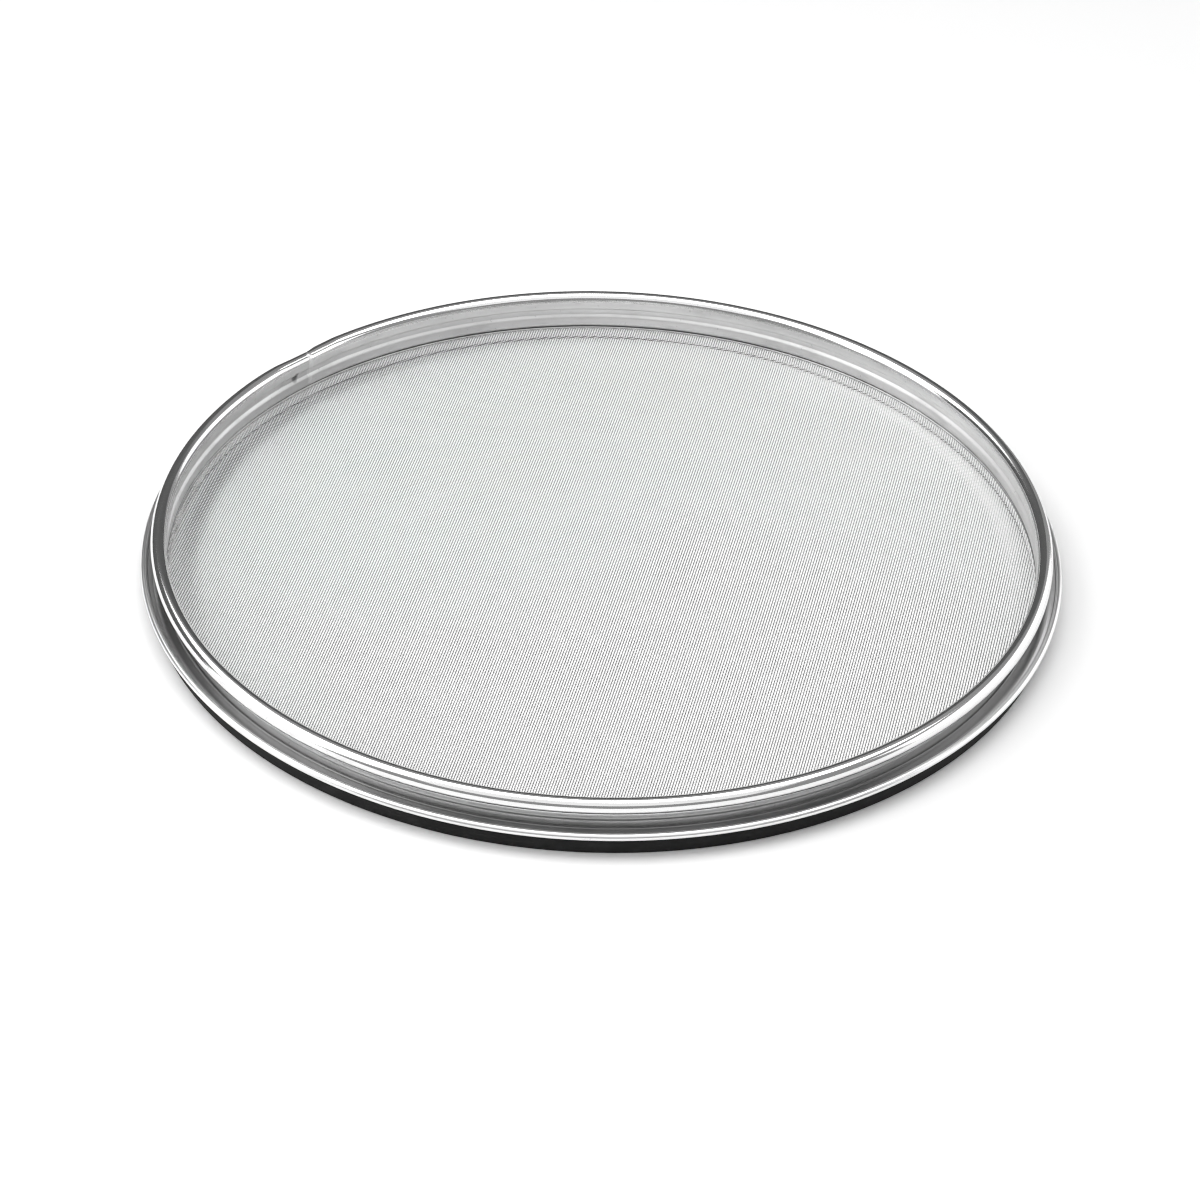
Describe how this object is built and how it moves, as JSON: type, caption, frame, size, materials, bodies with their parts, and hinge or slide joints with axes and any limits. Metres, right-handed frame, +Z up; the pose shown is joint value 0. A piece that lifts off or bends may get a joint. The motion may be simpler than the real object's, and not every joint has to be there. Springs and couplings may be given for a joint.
{
  "type": "test sieve",
  "caption": "Shallow round stainless sieve: rolled frame ring, woven wire cloth across its foot and a black rubber seal underneath.",
  "frame": {"origin": "on the ring's axis, at the level of the surface that the seal stands on", "axes": "+Z up along the ring's axis, from the seal to the rolled rim; +X to the right and +Y away from a viewer who has the butt weld at the rear left"},
  "size_m": [0.3072, 0.3072, 0.0186],
  "materials": {
    "frame_steel": "satin",
    "cloth_wire": "satin",
    "retaining_steel": "satin",
    "seal_rubber": "matte"
  },
  "bodies": {
    "root": {"frame_ring": "frame_steel", "wire_cloth": "cloth_wire", "retaining_ring": "retaining_steel", "seal_ring": "seal_rubber"}
  },
  "joints": []
}
